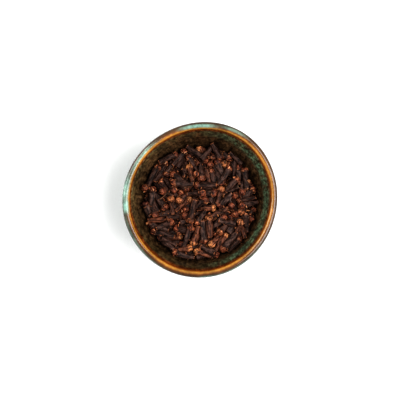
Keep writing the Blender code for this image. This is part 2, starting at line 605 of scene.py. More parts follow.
def rod_of(kind, shape, scale):
    """The simple rod that a shape settles as: its two round-ended parts along its own axis."""
    half = shape["length"] / 2 * scale
    girth = shape["girth"] * scale
    head = shape["head"] * scale
    middle_of_head = half - head
    rod = {
        "stem_low": -half + girth,
        "stem_high": max(middle_of_head - head, -half + girth + 0.2 * MM),
        "stem_radius": girth,
        "head_low": middle_of_head - 0.2 * MM,
        "head_high": middle_of_head + 0.2 * MM,
        "head_radius": head,
        "mass": facts_of(kind)["weight"],
    }
    if kind == "bud":
        rod.update(stem_low=-0.1 * MM, stem_high=0.1 * MM, stem_radius=0.9 * head)
        rod.update(head_low=-0.1 * MM, head_high=0.1 * MM)
    return rod


# Cloves laid on last, one by one: where the middle lies as shares of the rim's radius, which way
# the bud points in degrees from +X, and how far the bud end is tipped up in degrees
LAID_ON_TOP = (
    {"kind": "whole", "place": (-0.49, 0.55), "turn": 62, "tip": 0},
    {"kind": "whole", "place": (-0.36, 0.62), "turn": 2, "tip": 4},
    {"kind": "whole", "place": (-0.70, 0.02), "turn": 82, "tip": 0},
    {"kind": "whole", "place": (-0.24, -0.70), "turn": 200, "tip": 0},
    {"kind": "stem", "place": (-0.44, -0.60), "turn": 172, "tip": 0},
    {"kind": "whole", "place": (0.10, -0.74), "turn": -50, "tip": 20},
    {"kind": "whole", "place": (0.69, 0.26), "turn": 76, "tip": 8},
    {"kind": "whole", "place": (-0.02, 0.02), "turn": -8, "tip": 4},
    {"kind": "whole", "place": (0.17, 0.62), "turn": -44, "tip": -24},
    {"kind": "stem", "place": (-0.04, 0.69), "turn": -58, "tip": -30},
    {"kind": "stem", "place": (0.50, 0.56), "turn": -55, "tip": -6},
    {"kind": "whole", "place": (-0.24, 0.14), "turn": 172, "tip": 3},
    {"kind": "whole", "place": (0.30, 0.27), "turn": 60, "tip": 4},
    {"kind": "stem", "place": (0.33, -0.33), "turn": -42, "tip": 0},
    {"kind": "whole", "place": (-0.16, -0.50), "turn": 70, "tip": 2},
    {"kind": "whole", "place": (0.42, 0.17), "turn": 45, "tip": 5},
    {"kind": "stalk", "place": (-0.50, 0.10), "turn": 8, "tip": 2},
    {"kind": "whole", "place": (-0.45, -0.36), "turn": 38, "tip": 5},
    {"kind": "open", "place": (0.62, -0.45), "turn": 120, "tip": 55},
)


# How the cloves are let go: up to this far out in millimetres, a little forward of the middle, the
# first of them at this height, and each next one higher by this many millimetres
SPREAD_MM = 30
FORWARD = 1.5 * MM
FIRST_HEIGHT = 29 * MM
HEIGHT_STEP_MM = 0.2
USUAL_TIP = 0.45

FALL_STEPS = (220, 60)
LAST_STEPS = (60, 30)

# How near a clove counts as lying under one laid on top, and how far over it that one is let go
NEAR_ENOUGH = 6 * MM
OVER_CORE = 3 * MM
OVER_CLOVES = 4 * MM


def heading_of(turn, tip):
    """The way that something points: its turn from +X about Z, and how far it is tipped up."""
    return (math.cos(tip) * math.cos(turn), math.cos(tip) * math.sin(turn), math.sin(tip))


@functools.lru_cache(maxsize=1)
def settled_cloves():
    """Every clove at rest: its kind, the number of its shape, its size, place, heading and roll."""
    bowl = bpy.context.scene.clove_bowl
    cloves = bpy.context.scene.clove_heap
    rng = np.random.default_rng(cloves.seed)
    shapes = clove_shapes(cloves.seed)
    names = list(KINDS)
    shares = [facts_of(name)["share"] for name in names]
    found = []
    for number in range(cloves.count):
        kind = names[rng.choice(len(names), p=shares)]
        turn = rng.uniform(0, math.tau)
        tip = rng.normal(0, USUAL_TIP)
        way = math.sqrt(rng.uniform(0, 1)) * SPREAD_MM * MM
        side = rng.uniform(0, math.tau)
        found.append(
            {
                "kind": kind,
                "shape": int(rng.integers(len(shapes[kind]))),
                "scale": rng.uniform(0.92, 1.08),
                "roll": rng.uniform(0, math.tau),
                "tone": rng.uniform(0, 1),
                "middle": (
                    way * math.cos(side),
                    way * math.sin(side) - FORWARD,
                    FIRST_HEIGHT + number * HEIGHT_STEP_MM * MM,
                ),
                "heading": heading_of(turn, tip),
            }
        )
    heap = drop(bowl, cloves, shapes, found)
    steps = FALL_STEPS[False]
    heap.settle(steps, 0.97)
    heap.settle(steps // 4, 0.8)
    take_places(heap, found)
    found += laid_on_top(bowl, cloves, shapes, found, rng)
    heap = drop(bowl, cloves, shapes, found)
    heap.settle(LAST_STEPS[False], 0.85)
    take_places(heap, found)
    return shapes, found


def drop(bowl, cloves, shapes, found):
    """The heap of rods that stand for the cloves, each where it is let go."""
    rods = [rod_of(c["kind"], shapes[c["kind"]][c["shape"]], c["scale"]) for c in found]
    for rod, clove in zip(rods, found):
        rod.update(middle=clove["middle"], heading=clove["heading"])
    return Heap(bowl, cloves, rods)


def take_places(heap, found):
    for clove, middle, heading in zip(found, heap.middle, heap.heading):
        clove.update(middle=tuple(middle), heading=tuple(heading))


def laid_on_top(bowl, cloves, shapes, found, rng):
    """The last few cloves, each held just over what already lies under it."""
    laid = []
    middles = np.array([clove["middle"] for clove in found])
    for facts in LAID_ON_TOP:
        x, y = (share * bowl.rim_radius for share in facts["place"])
        near = np.hypot(middles[:, 0] - x, middles[:, 1] - y) < NEAR_ENOUGH
        under = max([core_height(cloves, x, y) + OVER_CORE, *middles[near, 2]])
        turn, tip = math.radians(facts["turn"]), math.radians(facts["tip"])
        laid.append(
            {
                "kind": facts["kind"],
                "shape": int(rng.integers(len(shapes[facts["kind"]]))),
                "scale": 1.0,
                "roll": rng.uniform(0, math.tau),
                "tone": rng.uniform(0.2, 0.8),
                "middle": (x, y, under + OVER_CLOVES),
                "heading": heading_of(turn, tip),
            }
        )
    return laid


# --------------------------------------------------------------------------- modelling one clove

STEM_SIDES = 18
STEM_RINGS = 11
SEPAL_SIDES = 8
SEPAL_RINGS = 3
STUB_SIDES = 8
BALL_SIDES = 26
BALL_RINGS = 13
PETALS = 4


def ease(low, high, value):
    """0 below low, 1 above high, and a smooth climb between them."""
    share = min(max((value - low) / (high - low), 0.0), 1.0)
    return share * share * (3 - 2 * share)


def model_stem(low, high, girth, crown, seed, pit=0.0, bow=0.4 * MM):
    """A wrinkled, slightly four-sided stem that widens from its foot to its crown."""
    depth = high - low
    bpy.ops.mesh.primitive_cylinder_add(
        vertices=STEM_SIDES, radius=girth, depth=depth, location=(0.0, 0.0, (low + high) / 2)
    )
    stem = newest("stem")
    with editing(stem) as mesh:
        cut_upright_edges(stem, mesh.edges, depth / 2, STEM_RINGS)
        bpy.ops.mesh.select_all(action="DESELECT")
        select_where(stem, mesh.faces, lambda f: abs(f.normal.z) > 0.9)
        bpy.ops.mesh.inset(thickness=0.3 * girth, depth=0.12 * girth)
        if pit:
            bpy.ops.mesh.select_all(action="DESELECT")
            select_where(stem, mesh.faces, lambda f: f.normal.z > 0.9 and len(f.verts) > 4)
            bpy.ops.mesh.inset(thickness=0.18 * girth, depth=-0.4 * pit)
            bpy.ops.mesh.inset(thickness=0.1 * girth, depth=-0.6 * pit)
    heights = places(stem)[:, 2]
    pale_foot = np.clip(1 - (heights - low) / (0.07 * depth), 0, 1) * 0.5
    across_stem = np.hypot(places(stem)[:, 0], places(stem)[:, 1])
    in_upper_half = heights > low + depth / 2
    in_pit = in_upper_half & (heights < high - 0.05 * girth) & (across_stem < 0.6 * girth)
    # Painted shade: the pit is made much darker by a negative pale; the paler foot is a cut end's
    # colour
    set_values(stem, "pale", np.where(in_pit, -0.9, pale_foot))
    roots = Vector((seed * 3.7, seed * 1.3, seed * 0.7))

    def shaped(place):
        share = (place.z - low) / depth
        turn = math.atan2(place.y, place.x)
        across = Vector((math.cos(turn), math.sin(turn), 0.0))
        width = 0.74 + 0.30 * ease(0.0, 0.7, share) + 0.10 * math.sin(5 * share + seed)
        width += (crown / girth - 1.05) * ease(0.78, 1.0, share)
        square = 0.06 * math.cos(4 * turn + 0.6 * seed)
        ridge = 0.20 * noise.noise(across * 3.0 + Vector((0.0, 0.0, 3.0 * share)) + roots)
        lump = 0.16 * noise.noise(across * 0.8 + Vector((0.0, 0.0, 6.0 * share)) + roots * 2)
        width *= 1 + square + ridge + lump
        bend = bow * math.sin(seed) * (1 - (2 * share - 1) ** 2)
        return Vector((place.x * width * 1.07 + bend, place.y * width * 0.94, place.z))

    reshape(stem, shaped)
    return stem


def model_sepal(out, up, turn, splay, length, width, seed):
    """One thick, blunt, cupped lobe of the crown, leaning out and curling at its tip."""
    bpy.ops.mesh.primitive_cone_add(
        vertices=SEPAL_SIDES, radius1=width / 2, radius2=0.22 * width, depth=length,
        location=(0.0, 0.0, length / 2),
    )
    sepal = newest("sepal")
    with editing(sepal) as mesh:
        cut_upright_edges(sepal, mesh.edges, length / 2, SEPAL_RINGS)
    heights = places(sepal)[:, 2] / length
    inner = np.clip(-places(sepal)[:, 1] / (0.4 * width), 0, 1)
    glow = 0.35 + 0.65 * ((seed * 0.618 + turn) % 1.0)
    pale = np.clip((heights - 0.3) / 0.7, 0, 1) * 0.8 + 0.3 * inner * heights
    set_values(sepal, "pale", pale * glow)
    radial = Vector((math.cos(turn), math.sin(turn), 0.0))
    sideways = Vector((-math.sin(turn), math.cos(turn), 0.0))
    curl = 0.55 * math.sin(seed * 1.7 + turn)
    roots = Vector((seed * 0.31, seed * 0.77, turn))

    def shaped(place):
        share = place.z / length
        lean = splay + curl * share
        spread = 1 + 0.30 * math.sin(math.pi * share)
        centre = radial * (out + length * share * math.sin(splay + curl * share / 2))
        centre.z = up + length * share * math.cos(splay + curl * share / 2)
        cup = 0.30 * place.x * place.x / (width / 2)
        offset = (0.50 - 0.18 * share) * place.y - cup
        facing = radial * math.cos(lean) - Vector((0.0, 0.0, math.sin(lean)))
        ragged = 0.16 * width * noise.noise_vector(place / width * 1.6 + roots)
        return centre + sideways * (place.x * spread) + facing * offset + ragged * share

    reshape(sepal, shaped)
    return sepal


def model_crown(head, up, seed, splay, length=1.0):
    """The four lobes that hold the bud."""
    rng = np.random.default_rng(seed)
    lobes = []
    for number in range(PETALS):
        turn = (number + rng.uniform(-0.13, 0.13)) * math.tau / PETALS + seed
        lobes.append(
            model_sepal(
                out=0.62 * head,
                up=up - 0.12 * head,
                turn=turn,
                splay=splay + rng.uniform(-0.35, 0.35),
                length=length * head * rng.uniform(0.75, 1.15),
                width=1.12 * head * rng.uniform(0.85, 1.15),
                seed=seed + number,
            )
        )
    return lobes


def model_ball(middle, head, seed):
    """The closed bud: petals wrapped round each other, some lifting and some fallen away."""
    bpy.ops.mesh.primitive_uv_sphere_add(segments=BALL_SIDES, ring_count=BALL_RINGS, radius=head)
    ball = newest("ball")
    rng = np.random.default_rng(seed)
    twist = rng.uniform(0.2, 0.6) * rng.choice((-1, 1))
    overlap = rng.uniform(0.16, 0.26)
    lifts = rng.uniform(-0.08, 0.16, PETALS)
    # How strongly each petal carries the painted highlight along its free edge
    glints = rng.uniform(0.0, 1.0, PETALS) ** 1.3
    if rng.uniform() < 0.5:
        gone = rng.integers(PETALS)
        lifts[gone] = -0.2
        glints[gone] = 0.0
    squash = rng.uniform(0.80, 1.02)
    roots = Vector((seed * 0.9, seed * 2.1, seed * 0.3))

    def petal_at(place):
        """Which petal a place is on, how far across it, and how far down from the bud's tip."""
        turn = math.atan2(place.y, place.x)
        down = math.acos(max(-1.0, min(1.0, place.z / head)))
        wander = 0.16 * noise.noise(place / head * 1.5 + roots)
        across = (turn / math.tau * PETALS + twist * down / math.pi * 2 + wander) % PETALS
        return int(across), across % 1.0, down

    # Painted highlight on the petals' free edges and painted shade in their creases, as 'pale'
    pale = []
    for vertex in ball.data.vertices:
        petal, share, down = petal_at(vertex.co)
        belt = math.sin(down) ** 0.5
        edge = ease(0.62, 0.9, share) * belt * glints[petal]
        painted_crease_shade = (1 - ease(0.0, 0.2, share)) * belt
        patch = ease(0.05, 0.5, noise.noise(vertex.co / head * 1.0 + roots * 3)) * glints[petal]
        pale.append(max(-1.0, min(1.0, 1.1 * edge + 0.3 * patch - 0.9 * painted_crease_shade)))
    set_values(ball, "pale", pale)

    def shaped(place):
        petal, share, down = petal_at(place)
        belt = math.sin(down) ** 0.6
        lap = overlap * (share**1.5 - 0.4) * belt
        lift = lifts[petal] * ease(0.1, 0.9, share) * belt
        pinch = -0.12 * math.exp(-((down / 0.3) ** 2))
        lump = 0.18 * noise.noise(place / head * 1.2 + roots)
        moved = place * (1 + lap + lift + pinch + lump)
        moved.z = moved.z * squash + middle
        return moved

    reshape(ball, shaped)
    return ball


def model_stub(out, up, turn, lean, length, girth):
    """A short side shoot on a stalk, with a pale broken end."""
    bpy.ops.mesh.primitive_cone_add(
        vertices=STUB_SIDES, radius1=girth, radius2=0.75 * girth, depth=length,
        location=(0.0, 0.0, length / 2),
    )
    stub = newest("stub")
    set_values(stub, "pale", np.clip(places(stub)[:, 2] / length, 0, 1))
    lean_over = Matrix.Rotation(turn, 3, "Z") @ Matrix.Rotation(lean, 3, "Y")
    root = Matrix.Rotation(turn, 3, "Z") @ Vector((out, 0.0, up))
    reshape(stub, lambda place: lean_over @ place + root)
    return stub


def model_whole_clove(shape):
    half, girth, head, seed = shape["length"] / 2, shape["girth"], shape["head"], shape["seed"]
    middle = half - head
    crown = middle - 0.62 * head
    stem = model_stem(-half, crown + 0.25 * head, girth, 0.86 * head, seed)
    splay = math.radians(40 + 30 * ((seed * 0.37) % 1.0))
    return [stem, *model_crown(head, crown, seed, splay)], [model_ball(middle, 0.94 * head, seed)]


def model_open_clove(shape):
    half, girth, head, seed = shape["length"] / 2, shape["girth"], shape["head"], shape["seed"]
    crown = half - 1.1 * head
    stem = model_stem(-half, crown, girth, 0.92 * head, seed, pit=0.7 * head)
    splay = math.radians(20 + 34 * ((seed * 0.37) % 1.0))
    lobes = model_crown(head, crown - 0.1 * head, seed, splay, length=1.15)
    style = model_stub(0.0, crown - 0.7 * head, 0.0, 0.12, 0.9 * head, 0.16 * head)
    return [stem, style, *lobes], []


def model_loose_bud(shape):
    return [], [model_ball(0.0, shape["head"], shape["seed"])]


def model_bare_stem(shape):
    half, girth = shape["length"] / 2, shape["girth"]
    return [model_stem(-half, half, girth, 1.02 * girth, shape["seed"], pit=0.25 * girth)], []


def model_stalk(shape):
    half, girth, seed = shape["length"] / 2, shape["girth"], shape["seed"]
    stem = model_stem(-half, half, girth, 1.15 * girth, seed, bow=0.9 * MM)
    joint = (0.2 + 0.3 * ((seed * 0.61) % 1.0)) * half
    stubs = [
        model_stub(0.3 * girth, joint, seed + side * math.pi, 0.75, 3.6 * girth, 0.62 * girth)
        for side in range(1 + seed % 2)
    ]
    return [stem, *stubs], []


def model_crumb(number):
    """One chip of a petal: a bent flake of a few dozen faces."""
    rng = np.random.default_rng(number)
    size = rng.uniform(0.35, 0.8) * MM
    bpy.ops.mesh.primitive_cone_add(vertices=6, radius1=size, radius2=0.5 * size, depth=2 * size)
    crumb = newest("crumb")
    with editing(crumb) as mesh:
        cut_upright_edges(crumb, mesh.edges, size, 1)
    set_values(crumb, "pale", rng.uniform(-0.6, 0.6, len(crumb.data.vertices)))
    flat = rng.uniform(0.3, 0.8)
    roots = Vector(rng.uniform(0, 50, 3))

    def shaped(place):
        moved = place + 0.5 * size * noise.noise_vector(place / size * 0.8 + roots)
        return Vector((moved.x, moved.y * flat + 0.3 * moved.z * moved.z / size, moved.z))

    reshape(crumb, shaped)
    return crumb


MODELLERS = {
    "whole": model_whole_clove,
    "open": model_open_clove,
    "bud": model_loose_bud,
    "stem": model_bare_stem,
    "stalk": model_stalk,
}


def model_shape(kind, shape):
    """One finished shape of a kind, joined, with its materials."""
    stem_skin, bud_skin, crumb_skin = clove_materials()
    woody, petals = MODELLERS[kind](shape)
    for part in woody:
        part.data.materials.append(crumb_skin if kind == "stalk" else stem_skin)
    for part in petals:
        part.data.materials.append(bud_skin)
    return join(woody + petals, f"{kind}_shape")


def lay_copy(model, number, tone, where):
    """A copy of a modelled shape with its own mesh, put where a matrix says."""
    copy = bpy.data.objects.new(f"copy_{number}", model.data.copy())
    bpy.context.scene.collection.objects.link(copy)
    set_vectors(copy, "grown", places(copy) + np.array([0.0, 0.0, 0.02 * number]))
    set_values(copy, "tone", np.full(len(copy.data.vertices), tone))
    copy.data.transform(where)
    move_off_wall(copy)
    return copy


def join_copies(copies, models, name):
    for model in models:
        bpy.data.objects.remove(model)
    piece = join(copies, name)
    smooth(piece, 55)
    hand_over(piece, "clove_heap")
    return piece


def lay_cloves(kind, name):
    """Models each shape of one kind once, and lays a copy wherever one of them came to rest."""
    shapes, found = settled_cloves()
    models = [model_shape(kind, shape) for shape in shapes[kind]]
    copies = []
    for number, clove in enumerate(found):
        if clove["kind"] != kind:
            continue
        turned = Vector(clove["heading"]).to_track_quat("Z", "Y").to_matrix().to_4x4()
        rolled = turned @ Matrix.Rotation(clove["roll"], 4, "Z")
        where = Matrix.Translation(clove["middle"]) @ rolled @ Matrix.Scale(clove["scale"], 4)
        copies.append(lay_copy(models[clove["shape"]], number, clove["tone"], where))
    return join_copies(copies, models, name)


CRUMB_SHAPES = 12
ROD_MARKS = 14

# How crumbs are scattered: up to this far out in millimetres, forward of the middle, each at one of
# two places about this far from there, and lifted by this
CRUMB_SPREAD_MM = 33
CRUMB_FORWARD = 2.5 * MM
CRUMB_STRAY = 1.6 * MM
CRUMB_LIFT = 0.15 * MM


def marks_on_cloves():
    """Balls strung along every settled clove: their centres and radii."""
    shapes, found = settled_cloves()
    centres, radii = [], []
    for clove in found:
        rod = rod_of(clove["kind"], shapes[clove["kind"]][clove["shape"]], clove["scale"])
        stem = np.linspace(rod["stem_low"], rod["stem_high"], ROD_MARKS)
        along = np.append(stem, rod["head_high"])
        centres.append(np.array(clove["middle"]) + along[:, None] * np.array(clove["heading"]))
        radii.append(np.append(np.full(ROD_MARKS, rod["stem_radius"]), rod["head_radius"]))
    return np.concatenate(centres), np.concatenate(radii)


def top_of_heap(x, y, centres, radii):
    """The height of whatever lies highest at a place in plan."""
    beside = np.hypot(centres[:, 0] - x, centres[:, 1] - y)
    over = beside < radii
    tops = centres[over, 2] + np.sqrt(radii[over] ** 2 - beside[over] ** 2)
    return max([core_height(bpy.context.scene.clove_heap, x, y), *tops])


def scatter_crumbs(count, seed):
    """Where each crumb lies: the lower of two places close to each other, so most lie in gaps."""
    rng = np.random.default_rng(seed)
    centres, radii = marks_on_cloves()
    crumbs = []
    for _ in range(count):
        way = math.sqrt(rng.uniform(0, 1)) * CRUMB_SPREAD_MM * MM
        side = rng.uniform(0, math.tau)
        middle = np.array([way * math.cos(side), way * math.sin(side) - CRUMB_FORWARD])
        choices = middle + rng.normal(0, CRUMB_STRAY, (2, 2))
        heights = [top_of_heap(x, y, centres, radii) for x, y in choices]
        lower = int(np.argmin(heights))
        crumbs.append(
            {
                "shape": int(rng.integers(CRUMB_SHAPES)),
                "tone": rng.uniform(0, 1),
                "place": (*choices[lower], heights[lower] + CRUMB_LIFT),
                "turns": rng.uniform(0, math.tau, 3),
                "size": rng.uniform(0.6, 1.5),
            }
        )
    return crumbs


def lay_crumbs(name):
    """Models a few chips, and lays a copy of one wherever a crumb came to rest."""
    cloves = bpy.context.scene.clove_heap
    models = [model_crumb(number) for number in range(CRUMB_SHAPES)]
    for model in models:
        model.data.materials.append(clove_materials()[2])
    copies = []
    for number, crumb in enumerate(scatter_crumbs(cloves.crumbs, cloves.seed + 1)):
        turned = Euler(crumb["turns"]).to_matrix().to_4x4()
        where = Matrix.Translation(crumb["place"]) @ turned @ Matrix.Scale(crumb["size"], 4)
        copies.append(lay_copy(models[crumb["shape"]], number, crumb["tone"], where))
    return join_copies(copies, models, name)


def hand_over(piece, node):
    """The piece rides on the model's one body, and its CAD node is hidden."""
    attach(piece, "root")
    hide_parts(node)


# --------------------------------------------------------------------------- materials


def add(tree, kind, inputs=None, **options):
    """Adds a node, sets its options, and fills its inputs with values or with other outputs."""
    node = tree.nodes.new(kind)
    for name, value in options.items():
        setattr(node, name, value)
    for name, value in (inputs or {}).items():
        fill_in(tree, node.inputs[name], value)
    return node


def fill_in(tree, socket, value):
    if isinstance(value, bpy.types.NodeSocket):
        tree.links.new(value, socket)
    elif socket.type == "RGBA" and len(value) == 3:
        socket.default_value = (*value, 1.0)
    else:
        socket.default_value = value


def calculate(tree, operation, *values, clamp=False):
    node = add(tree, "ShaderNodeMath", operation=operation, use_clamp=clamp)
    for socket, value in zip(node.inputs, values):
        fill_in(tree, socket, value)
    return node.outputs[0]


def times(tree, first, *others):
    """The product of several values."""
    for other in others:
        first = calculate(tree, "MULTIPLY", first, other)
    return first


def blend(tree, share, first, second, mode="MIX"):
    """Mixes two colours."""
    node = add(tree, "ShaderNodeMix", data_type="RGBA", blend_type=mode)
    fill_in(tree, node.inputs[0], share)
    fill_in(tree, node.inputs[6], first)
    fill_in(tree, node.inputs[7], second)
    return node.outputs[2]


def ramp_up(tree, value, low, high, start=0.0, end=1.0):
    """A smooth climb from start to end while the value goes from low to high."""
    inputs = {"Value": value, "From Min": low, "From Max": high, "To Min": start, "To Max": end}
    return add(tree, "ShaderNodeMapRange", inputs, interpolation_type="SMOOTHSTEP").outputs[0]


def speckle(tree, vector, scale, detail=3.0, roughness=0.5):
    inputs = {"Vector": vector, "Scale": scale, "Detail": detail, "Roughness": roughness}
    return add(tree, "ShaderNodeTexNoise", inputs).outputs["Fac"]


def attribute(tree, name, output="Fac"):
    """What the modelling wrote on each vertex under a name."""
    node = add(tree, "ShaderNodeAttribute", attribute_name=name, attribute_type="GEOMETRY")
    return node.outputs[output]


def object_place(tree):
    return add(tree, "ShaderNodeTexCoord").outputs["Object"]


def shaded(tree, colour, shade):
    """A colour made darker or lighter by a number."""
    grey = add(tree, "ShaderNodeCombineColor", {"Red": shade, "Green": shade, "Blue": shade})
    return blend(tree, 1.0, colour, grey.outputs[0], "MULTIPLY")


def finish_skin(tree, shader, colour, relief, strength, distance):
    """Gives a shader its colour, and bumps too fine to model."""
    tree.links.new(colour, shader.inputs["Base Color"])
    inputs = {"Height": relief, "Strength": strength, "Distance": distance}
    bump = add(tree, "ShaderNodeBump", inputs)
    tree.links.new(bump.outputs[0], shader.inputs["Normal"])


def new_material(name, roughness):
    material = bpy.data.materials.new(name)
    material.use_nodes = True
    shader = material.node_tree.nodes["Principled BSDF"]
    shader.inputs["Roughness"].default_value = roughness
    return material, material.node_tree, shader


def new_group(name, inputs, outputs):
    """An empty shader node group with its sockets, all numbers but Vector, and its end nodes."""
    group = bpy.data.node_groups.new(name, "ShaderNodeTree")
    for way, names in (("INPUT", inputs), ("OUTPUT", outputs)):
        for socket in names:
            kind = "NodeSocketVector" if socket == "Vector" else "NodeSocketFloat"
            group.interface.new_socket(socket, in_out=way, socket_type=kind)
    return group, group.nodes.new("NodeGroupInput"), group.nodes.new("NodeGroupOutput")


def use_group(tree, group, inputs):
    return add(tree, "ShaderNodeGroup", inputs, node_tree=group)


@functools.lru_cache(maxsize=1)
def dried_skin():
    """Wrinkles that run along a clove, and the patches of its colour."""
    inputs = ("Vector", "Fineness", "Length")
    group, entry, leave = new_group("Dried skin", inputs, ("Wrinkle", "Patch", "Dust"))
    place, fineness, length = (entry.outputs[name] for name in inputs)
    along = add(group, "ShaderNodeCombineXYZ", {"X": 1.0, "Y": 1.0, "Z": length}).outputs[0]
    drawn = add(group, "ShaderNodeVectorMath", {0: place, 1: along}, operation="MULTIPLY")
    wrinkle = speckle(group, drawn.outputs[0], fineness, 4.0, 0.6)
    patch = speckle(group, place, times(group, fineness, 0.5))
    dust = speckle(group, place, times(group, fineness, 2.1))
    group.links.new(wrinkle, leave.inputs["Wrinkle"])
    group.links.new(ramp_up(group, patch, 0.38, 0.64), leave.inputs["Patch"])
    group.links.new(ramp_up(group, dust, 0.45, 0.75), leave.inputs["Dust"])
    return group


@functools.lru_cache(maxsize=1)
def clove_materials():
    """The skins of stems, of buds, and of crumbs and thin stalks."""
    cloves = bpy.context.scene.clove_heap
    old_and_fresh = (cloves.bud_dark, cloves.bud_light)
    stem = skin_material("clove_stem", cloves.stem, cloves.stem_grey, cloves.stem_red, 0.6, 0.2)
    bud = skin_material("clove_bud", cloves.bud, *old_and_fresh, 0.55, 0.22)
    crumb = skin_material("clove_crumb", cloves.crumb, *old_and_fresh, 0.6, 0.2)
    return stem, bud, crumb


def skin_material(name, main, blotch, rare, roughness, shine):
    """A dried skin: a main colour, blotches of another, a rarer third, pale tips, painted highlight
    and shade.
    """
    cloves = bpy.context.scene.clove_heap
    material, tree, shader = new_material(name, roughness)
    shader.inputs["Specular IOR Level"].default_value = shine
    grown = attribute(tree, "grown", "Vector")
    skin = use_group(tree, dried_skin(), {"Vector": grown, "Fineness": 950.0, "Length": 0.35})
    wrinkle, patch, dust = (skin.outputs[output] for output in ("Wrinkle", "Patch", "Dust"))
    tone = attribute(tree, "tone")
    pale = attribute(tree, "pale")
    bloom = times(tree, patch, ramp_up(tree, tone, 0.0, 0.55, 1.0, 0.2))
    colour = blend(tree, bloom, main, blotch)
    colour = blend(tree, ramp_up(tree, tone, 0.65, 1.0, 0.0, 0.9), colour, rare)
    dusty = ramp_up(tree, dust, 0.0, 1.0, 0.6, 1.1)
    light = calculate(tree, "MULTIPLY", pale, dusty, clamp=True)
    # Toward warm and pale: the sepal tips' own colour, and painted highlight on the buds' petal
    # edges
    colour = blend(tree, ramp_up(tree, light, 0.05, 0.55), colour, cloves.warm)
    colour = blend(tree, ramp_up(tree, light, 0.5, 0.9), colour, cloves.pale)
    # Painted shade in the wrinkle grooves and painted highlight on their ridges
    painted_wrinkle_light_and_shade = ramp_up(tree, wrinkle, 0.35, 0.67, 0.16, 1.6)
    # Painted shade in the petals' creases and the stems' pits, where 'pale' is negative
    painted_crease_shade = ramp_up(tree, pale, -0.7, 0.0, 0.1, 1.0)
    colour = shaded(tree, colour, times(tree, painted_wrinkle_light_and_shade, painted_crease_shade))
    finish_skin(tree, shader, colour, wrinkle, 0.8, 0.4 * MM)
    return material


# Pools of thick pale glaze on the lip and under it: the direction and half width in degrees, then
# how far inside the lip's crest and how far across in millimetres, and how thick, from 0 to 1
GLAZE_POOLS = (
    (64, 9, -0.8, 1.0, 0.5),
    (92, 12, -0.2, 1.2, 1.0),
    (146, 15, 0.0, 1.0, 0.75),
    (172, 10, -1.2, 2.2, 0.85),
    (185, 5, -0.7, 2.0, 1.0),
    # A painted highlight: pale glaze where a thin reflection runs outside the crest
    (215, 22, -1.7, 0.9, 0.4),
    (275, 5, -1.3, 0.8, 0.6),
    # A painted highlight: pale glaze where a thin reflection runs outside the crest
    (298, 22, -1.9, 0.9, 0.4),
    (150, 34, 5.2, 1.6, 0.35),
    (15, 55, 9.0, 4.6, 0.62),
    (320, 34, 10.0, 3.6, 0.6),
)

# The glaze's bands: distance inside the lip's crest along the surface in millimetres, and the
# colour there
GLAZE_BANDS = (
    (-40.0, (44, 54, 44)),
    (-14.0, (56, 66, 54)),
    (-6.0, (62, 56, 40)),
    (-2.4, (64, 48, 33)),
    (-1.4, (72, 52, 36)),
    (-0.6, (84, 60, 40)),
    (0.2, (98, 62, 34)),
    (0.6, (126, 84, 42)),
    (1.0, (164, 112, 50)),
    (1.6, (178, 134, 66)),
    (2.1, (162, 108, 40)),
    (2.6, (144, 80, 25)),
    (3.4, (130, 66, 19)),
    (5.0, (104, 58, 24)),
    (6.5, (78, 60, 37)),
    (8.0, (80, 67, 44)),
    (11.0, (76, 61, 40)),
    (16.0, (70, 53, 36)),
    (40.0, (48, 35, 22)),
)
BAND_RANGE = (-40.0, 40.0)


@functools.lru_cache(maxsize=1)
def glaze_pool():
    """How thickly one pool of glaze covers a place."""
    names = ("East", "North", "Band", "Toward east", "Toward north", "Half width", "Middle",
             "Reach", "Thickness")
    group, entry, leave = new_group("Glaze pool", names, ("Cover",))
    inputs = entry.outputs
    toward_east = times(group, inputs["East"], inputs["Toward east"])
    toward = calculate(group, "MULTIPLY_ADD", inputs["North"], inputs["Toward north"], toward_east)
    aside = calculate(group, "DIVIDE", calculate(group, "ARCCOSINE", toward), inputs["Half width"])
    sideways = ramp_up(group, aside, 0.3, 1.7, 1.0, 0.0)
    away = calculate(group, "SUBTRACT", inputs["Band"], inputs["Middle"])
    across = calculate(group, "DIVIDE", calculate(group, "ABSOLUTE", away), inputs["Reach"])
    edge = ramp_up(group, across, 0.3, 1.4, 1.0, 0.0)
    group.links.new(times(group, sideways, edge, inputs["Thickness"]), leave.inputs["Cover"])
    return group


